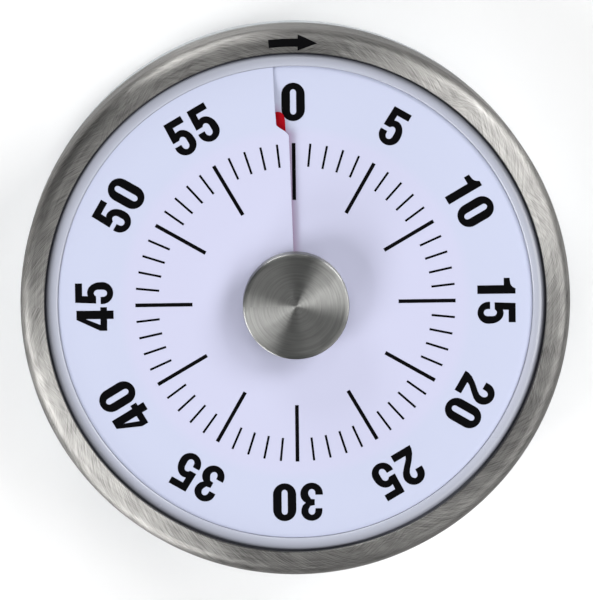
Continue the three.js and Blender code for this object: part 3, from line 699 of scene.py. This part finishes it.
def flat_shape(loops):
    """A flat outline filled with faces small enough to follow a curved sheet."""
    flat = bmesh.new()
    corners = [flat.verts.new((u, v, 0)) for loop in loops for u, v in loop]
    for triangle in tessellate_polygon([[Vector((u, v, 0)) for u, v in loop] for loop in loops]):
        flat.faces.new([corners[i] for i in triangle])
    for axis in (0, 1):
        low = min(c.co[axis] for c in corners)
        high = max(c.co[axis] for c in corners)
        normal = [0, 0, 0]
        normal[axis] = 1
        steps = math.ceil((high - low) / INK_GRID)
        for i in range(1, steps):
            at = [0, 0, 0]
            at[axis] = low + (high - low) * i / steps
            everything = flat.verts[:] + flat.edges[:] + flat.faces[:]
            bmesh.ops.bisect_plane(flat, geom=everything, dist=1e-5, plane_co=at, plane_no=normal)
    return flat


def printed(loops, r0, angle, points, faces):
    """Adds one printed shape to a mesh's lists, standing upright at a clockwise angle on the dial."""
    flat = flat_shape(loops)
    flat.verts.index_update()
    base = len(points)
    for level in (INK_LOW, INK_HIGH):
        for vertex in flat.verts:
            u, v = vertex.co.x, vertex.co.y
            x = (r0 + v) * math.sin(angle) + u * math.cos(angle)
            y = (r0 + v) * math.cos(angle) - u * math.sin(angle)
            here = math.atan2(x, y) % TURN
            if angle < 0.3 and here > math.pi:      # the left side of the 0 and its tick
                here -= TURN
            points.append((x, y, dial_height(here, math.hypot(x, y)) + DIAL_T / 2 + level))
    count = len(flat.verts)
    for face in flat.faces:
        corners = [base + v.index for v in face.verts]
        faces.append([c + count for c in corners])
        faces.append(corners[::-1])
    for edge in flat.edges:
        if len(edge.link_faces) == 1:
            a, b = (base + v.index for v in edge.verts)
            faces.append([a, b, b + count, a + count])
    flat.free()


def dial_print():
    """The sixty ticks, and a numeral at every fifth."""
    points, faces = [], []
    for minute in range(60):
        major = minute % 5 == 0
        length, half = MAJOR_TICK if major else MINOR_TICK
        bar = [[(-half, -length / 2), (half, -length / 2), (half, length / 2), (-half, length / 2)]]
        angle = TURN * minute / 60
        printed(bar, TICK_OUTER_R - length / 2, angle, points, faces)
        if major:
            slip = NUMERAL_SLIP.get(minute, 0) / NUMERAL_R
            for loops in numeral_outlines(str(minute)):
                printed(loops, NUMERAL_R, angle + slip, points, faces)
    ink = add_mesh("dial_print", points, faces, LOOKS["ink"], 20)
    return piece(ink, "case", "dial_film")


# ---- Case ----
def bezel_height(r):
    """Height of the bezel's face at a radius: it climbs a little, then comes the outer bend."""
    cone_start = LIP_R + LIP_BEND
    bend_start = CASE_R - SHOULDER
    if r <= bend_start:
        return CASE_TOP - FACE_RISE * (bend_start - max(cone_start, r)) / (bend_start - cone_start)
    return CASE_TOP - SHOULDER + math.sqrt(max(0.0, SHOULDER ** 2 - (r - bend_start) ** 2))


def bezel():
    """The case ring: a wall, the outer bend, the face and the lip turned down inside it."""
    bend_start = CASE_R - SHOULDER
    inner_r = SHOULDER - STEEL
    bend = arc(bend_start, CASE_TOP - SHOULDER, SHOULDER, SHOULDER, 0, 90, 15)
    inner_bend = arc(bend_start, CASE_TOP - SHOULDER, inner_r, inner_r, 90, 0, 6)
    lip_top = CASE_TOP - FACE_RISE
    lip = arc(LIP_R + LIP_BEND, lip_top - LIP_BEND, LIP_BEND, LIP_BEND, 90, 180, 6)
    lip_edge, foot_edge = 0.06, 0.12
    outline = [
        (LIP_R, LIP_FOOT + lip_edge), (LIP_R + lip_edge, LIP_FOOT), (LIP_R + STEEL, LIP_FOOT),
        (LIP_R + STEEL, lip_top - STEEL),
        *inner_bend,
        (CASE_R - STEEL, CASE_FOOT), (CASE_R - foot_edge, CASE_FOOT), (CASE_R, CASE_FOOT + foot_edge),
        *bend,
        *lip,
    ]
    ring = lathe("bezel", outline, LOOKS["case_steel"], 288, smooth_deg=28)
    return piece(ring, "case", "brushed_steel", "case_ring")


def bezel_arrow():
    """The printed arrow. Its columns are places along the turn and half its width there."""
    shaft_half, head_half = 0.59, 1.16
    start, neck, end = -3.5, 0.72, 3.55      # along the turn, from 12 o'clock
    sliver = 0.01                            # from shaft to head, and half the tip's width
    steps, rows = 14, 9
    columns = [(start + (neck - start) * i / steps, shaft_half) for i in range(steps + 1)]
    for i in range(steps + 1):
        columns.append((neck + sliver + (end - neck) * i / steps, head_half * (1 - i / steps) + sliver))

    def point(c, w):
        s, half = columns[c]
        r = ARROW_R + half * (2 * w / (rows - 1) - 1)
        z = bezel_height(r)
        return *clockwise(r, s / ARROW_R), z + ARROW_LOW, z + ARROW_HIGH

    arrow = sheet("bezel_arrow", len(columns), rows, point, LOOKS["ink"])
    return piece(arrow, "case", "brushed_steel")


def dial_ledge():
    """The moulding's ledge, which climbs under the dial sheet's rim."""
    edge_r = (32.4, RING_R + 0.2)
    root, clearance = CARRIER_TOP - 0.4, 0.3     # sunk in the floor, and clear of the sheet
    gap = 0.02                                   # between its two ends, in radians
    start = gap / 2 - math.asin(cut_offset(DIAL_R) / DIAL_R)
    steps = 180

    def point(c, w):
        angle = start + (TURN - gap) * c / steps
        top = min(climb_height(angle), RIM_Z) - DIAL_T / 2 - clearance
        return *clockwise(edge_r[w], angle), root, top

    return sheet("ledge", steps + 1, 2, point, LOOKS["white_plastic"])


def dial_carrier():
    """The white moulding: floor, skirt, ring and ledge, with bosses for the two sets of screws."""
    white = LOOKS["white_plastic"]
    under_lip = CASE_TOP - 1.2
    groove_r, groove_floor = LIP_R + 0.25, under_lip - 1.1     # the step that clears the case's lip
    crown = 0.5                          # fall of the ring's top towards the lip
    inner_edge = 0.2
    top_r = RING_R + 0.35
    ring = arc(top_r, RING_TOP - crown, RING_EDGE_R - top_r, crown, 0, 90, 12)
    ring += arc(top_r, RING_TOP - inner_edge, top_r - RING_R, inner_edge, 90, 180, 6)[1:]
    outline = rounded([
        (CARRIER_HOLE_R, CARRIER_BOTTOM, 0.2), (SKIRT_R, CARRIER_BOTTOM, 0.4), (SKIRT_R, SKIRT_FOOT, 0.2),
        (INSIDE_R, SKIRT_FOOT, 0.3), (INSIDE_R, under_lip, 0.3), (groove_r, under_lip, 0.1),
        (groove_r, groove_floor, 0), (RING_EDGE_R, groove_floor, 0),
        *[(r, z, 0) for r, z in ring], (RING_R, CARRIER_TOP, 0), (CARRIER_HOLE_R, CARRIER_TOP, 0.2),
    ])
    carrier = lathe("dial_moulding", outline, white, 240)
    boss_foot, boss_r, bore_r, bore_top = 7.3, 3.2, 1.6, 17          # for a case screw
    pad_foot, pad_r, pad_bore_r = CARRIER_BOTTOM - 0.5, 2.6, 1.2     # for a movement screw
    in_floor = CARRIER_BOTTOM + 0.3      # the bosses and pads end inside the floor
    added, bores = [dial_ledge()], []
    for i in COPIES:
        at = middle_mm(f"case_screw_{i}")
        boss = rounded([
            (0, boss_foot, 0), (boss_r, boss_foot, 0.4), (boss_r, in_floor, 0), (0, in_floor, 0),
        ])
        added.append(lathe("boss", boss, white, 48, at))
        bores.append(cylinder("bore", bore_r, boss_foot - 0.8, bore_top, white, 40, at))
        at = middle_mm(f"movement_screw_{i}")
        added.append(cylinder("pad", pad_r, pad_foot, in_floor, white, 48, at))
        bores.append(cylinder("bore", pad_bore_r, pad_foot - 0.3, CARRIER_BOTTOM + 1, white, 32, at))
    cut_and_join(carrier, bores, added)
    return piece(carrier, "case", "white_plastic", "dial_carrier")


def back_shell():
    """The rear half of the case, with a groove for the grip ring, sockets, and a post for the arbor."""
    pale = LOOKS["shell_plastic"]
    bottom, top = SHELL_LOW[2], SHELL_HIGH[2]
    inside = SHELL_R - 2.2
    groove_in, groove_out, groove_z = FOOT_INNER_R - 0.3, FOOT_HIGH[0] + 0.3, 1.7
    post_r, post_top, hole_r, hole_floor = 4.0, 4.7, 1.5, 1.9
    outline = rounded([
        (0, bottom, 0), (groove_in, bottom, 0.15), (groove_in, groove_z, 0.1),
        (groove_out, groove_z, 0.1), (groove_out, bottom, 0.15),
        (SHELL_R, bottom, 1.8), (SHELL_R, SHELL_TOP, 0.25), (INSIDE_R, SHELL_TOP, 0),
        (INSIDE_R, top, 0.3), (inside, top, 0.3), (inside, SHELL_FLOOR, 0.8),
        (post_r, SHELL_FLOOR, 0.4), (post_r, post_top, 0.2), (hole_r, post_top, 0.1),
        (hole_r, hole_floor, 0), (0, hole_floor, 0),
    ], 8)
    shell = lathe("rear_shell", outline, pale, 240)
    in_floor = SHELL_FLOOR - 0.2         # the bosses start inside the floor
    boss_r, boss_top, head_r, shank_r = 4.2, 7.0, 2.9, 1.6     # for a case screw
    cup_r, cup_top, pocket_r = 7.4, 4.2, 6.3                   # for a magnet
    recess_top = 2.8
    cutters, bosses = [], []

    def recess(wall_r):
        """The outline of a hole from below with a bevelled mouth, as far as its inner corner."""
        mouth_r = wall_r + 0.25
        return [(0, 0), (mouth_r, 0), (mouth_r, 0.7), (wall_r, 0.95), (wall_r, recess_top)]

    for i in COPIES:
        at = middle_mm(f"case_screw_{i}")
        bosses.append(cylinder("boss", boss_r, in_floor, boss_top, pale, 48, at))
        hole = recess(head_r) + [(shank_r, recess_top), (shank_r, boss_top + 1), (0, boss_top + 1)]
        cutters.append(lathe("hole", hole, pale, 56, at))
        at = middle_mm(f"magnet_{i}")
        bosses.append(cylinder("cup", cup_r, in_floor, cup_top, pale, 72, at))
        cutters.append(lathe("pocket", recess(pocket_r) + [(0, recess_top)], pale, 72, at))
    cut_and_join(shell, cutters, bosses)
    return piece(shell, "case", "shell_plastic", "back_shell")


def grip_ring():
    """The rubber ring, with two grooves in its foot."""
    outer, top = FOOT_HIGH[0], FOOT_HIGH[2]
    middle = (FOOT_INNER_R + outer) / 2
    bevel = 0.3
    mouth, floor, depth = 0.25, 0.12, 0.25     # a groove's half widths and its depth
    outline = [(outer, bevel), (outer, top), (FOOT_INNER_R, top), (FOOT_INNER_R, bevel),
               (FOOT_INNER_R + bevel, 0)]
    for offset in (-0.75, 0.75):
        r = middle + offset
        outline += [(r - mouth, 0), (r - floor, depth), (r + floor, depth), (r + mouth, 0)]
    outline.append((outer - bevel, 0))
    ring = lathe("grip_ring", outline[::-1], LOOKS["rubber"], 192)
    return piece(ring, "case", "rubber", "foot_ring")


def magnet(i):
    """A nickel-plated disc with rounded edges."""
    node = f"magnet_{i}"
    low, high = (corner[2] for corner in box_mm(node))
    edge = 0.35
    outline = rounded([(0, low, 0), (MAGNET_R, low, edge), (MAGNET_R, high, edge), (0, high, 0)])
    disc = lathe(f"disc_{node}", outline, LOOKS["magnet_nickel"], 96, middle_mm(node))
    return piece(disc, "case", "magnet_nickel", node)


def case_screw(i):
    """A pan head with a cross recess, seen from the back, and a threaded shank."""
    node = f"case_screw_{i}"
    low, high = (corner[2] for corner in box_mm(node))
    at = middle_mm(node)
    head_top = low + 1.3
    head_r, thread_r, root_r, pitch = 2.58, 1.3, 1.02, 1.1
    dome = [(0, low), (1.2, low + 0.02), (2.0, low + 0.2), (2.45, low + 0.55), (head_r, low + 0.95)]
    outline = dome + [(head_r, head_top), (thread_r, head_top), (1.1, head_top + 0.5)]
    z = head_top + 1.0
    while z < high - 1.6:
        outline += [(root_r, z), (thread_r, z + 0.35), (root_r, z + 0.7)]
        z += pitch
    outline += [(0.9, high - 1.2), (0, high)]
    screw = lathe(f"back_screw_{i}", outline, LOOKS["plated_steel"], 64, at)
    stands_at = 37 * i                   # each screw's recess has its own angle
    mouth, floor = (low - 0.4, 1.25, 0.24), (low + 0.9, 0.5, 0.17)     # height, half length, half width
    bars = []
    for turn in (0, 90):
        a = math.radians(turn + stands_at)
        corners = []
        for z, half_long, half_wide in (mouth, floor):
            for u, v in ((-1, -1), (1, -1), (1, 1), (-1, 1)):
                x, y = u * half_long, v * half_wide
                corners.append((at[0] + x * math.cos(a) - y * math.sin(a),
                                at[1] + x * math.sin(a) + y * math.cos(a), z))
        faces = [[3, 2, 1, 0], [4, 5, 6, 7], [0, 1, 5, 4], [1, 2, 6, 5], [2, 3, 7, 6], [3, 0, 4, 7]]
        bars.append(add_mesh("recess", corners, faces, LOOKS["plated_steel"]))
    cut_and_join(screw, bars)
    return piece(screw, "case", "plated_steel", node)


def knob():
    """The knob's steel cap: a cup with a rounded edge and a slightly dished top."""
    bottom, top = KNOB_LOW[2], KNOB_HIGH[2]
    wall, fillet, bevel = 0.6, 0.2, 0.15
    dish, dish_r = 0.10, 3.0             # its depth, and its level middle's radius
    edge = arc(KNOB_R - fillet, top - fillet, fillet, fillet, 0, 78, 7)
    shoulder_r, shoulder = KNOB_R - 0.7, top - 0.03
    outline = [
        (KNOB_R - wall, bottom), (KNOB_R - bevel, bottom), (KNOB_R, bottom + bevel), *edge,
        (shoulder_r, shoulder), (dish_r, top - dish), (0, top - dish),
        (0, top - wall - dish), (KNOB_R - wall, top - wall - dish),
    ]
    cap = lathe("knob_cap", outline, LOOKS["knob_steel"], 160, smooth_deg=25)
    return piece(cap, "knob_and_arbor", "brushed_steel", "knob")


def dress_inner_nodes():
    """Gives every CAD node that still shows the look of its material slot."""
    slots = {row["node"]: row["material_slot"] for row in frame["record"]["subparts"]}
    for node, obj in frame["nodes"].items():
        look = LOOKS.get(slots[node])
        if look is None:
            continue
        if not obj.material_slots:
            obj.data.materials.append(look)
        for slot in obj.material_slots:
            slot.material = look


# ---- Studio ----
LIGHTS = [      # name, azimuth and elevation in degrees, brightness
    ("key_left", 207, 40, 9.9),
    ("low_left", 239, 20, 8.2),
    ("back_left", 114, 18, 6.9),
    ("key_right", 36, 40, 10.0),
    ("side_right", 357, 54, 5.0),
    ("low_right", 312, 50, 2.2),
    ("top", 90, 54, 1.8),
]


def studio():
    """A white floor just under the timer, in a faint bluish surround."""
    below = -0.02 * MM
    bpy.ops.mesh.primitive_plane_add(size=4.0, location=(0, 0, below))
    floor = bpy.context.object
    floor.name = "floor"
    floor.data.materials.append(floor_look())
    world = bpy.data.worlds.new("studio")
    world.use_nodes = True
    surround = world.node_tree.nodes["Background"].inputs
    surround["Color"].default_value = (0.85, 0.93, 1.0, 1)
    surround["Strength"].default_value = 0.035
    bpy.context.scene.world = world


def softbox(name, azimuth, elevation, brightness):
    """A square area light that faces the timer. Azimuth 0 is +X, counterclockwise."""
    size, distance, aim_height = 0.34, 0.8, 0.02     # in metres
    a, e = math.radians(azimuth), math.radians(elevation)
    data = bpy.data.lights.new(name, "AREA")
    data.shape = "SQUARE"
    data.size = size
    data.energy = brightness * math.pi * size ** 2
    lamp = bpy.data.objects.new(name, data)
    away = Vector((math.cos(e) * math.cos(a), math.cos(e) * math.sin(a), math.sin(e)))
    lamp.location = away * distance + Vector((0, 0, aim_height))
    lamp.rotation_euler = away.to_track_quat("Z", "Y").to_euler()
    bpy.context.scene.collection.objects.link(lamp)


def camera():
    """A long lens almost straight above the dial."""
    distance = 0.8                    # in metres
    tilt = math.radians(6.55)         # towards 12 o'clock
    sideways = math.radians(-0.97)    # towards 9 o'clock
    roll = math.radians(-0.7)
    shift = Vector((0.116, 0.527, 0)) * MM      # moves the timer off the picture's middle
    level_part = math.cos(sideways)
    away = Vector((math.sin(sideways), math.sin(tilt) * level_part, math.cos(tilt) * level_part))
    data = bpy.data.cameras.new("camera")
    data.lens = 330.4
    data.sensor_width = 36.0
    data.clip_start = 0.01
    cam = bpy.data.objects.new("camera", data)
    up = (Vector((0, 1, 0)) - away * away.y).normalized()
    level = Matrix((up.cross(away), up, away)).transposed().to_4x4()
    turn = level @ Matrix.Rotation(roll, 4, "Z")
    focus = Vector((0, 0, CASE_TOP - 0.5)) * MM
    aim = focus + turn.to_3x3() @ shift
    cam.matrix_world = Matrix.Translation(aim + away * distance) @ turn
    bpy.context.scene.collection.objects.link(cam)
    bpy.context.scene.camera = cam


studio()
camera()
for light in LIGHTS:
    softbox(*light)
bpy.context.scene.view_settings.view_transform = "Standard"

dress_inner_nodes()
bezel()
bezel_arrow()
dial_carrier()
dial_sheet()
dial_print()
red_disc()
knob()
back_shell()
grip_ring()
for number in COPIES:
    magnet(number)
    case_screw(number)
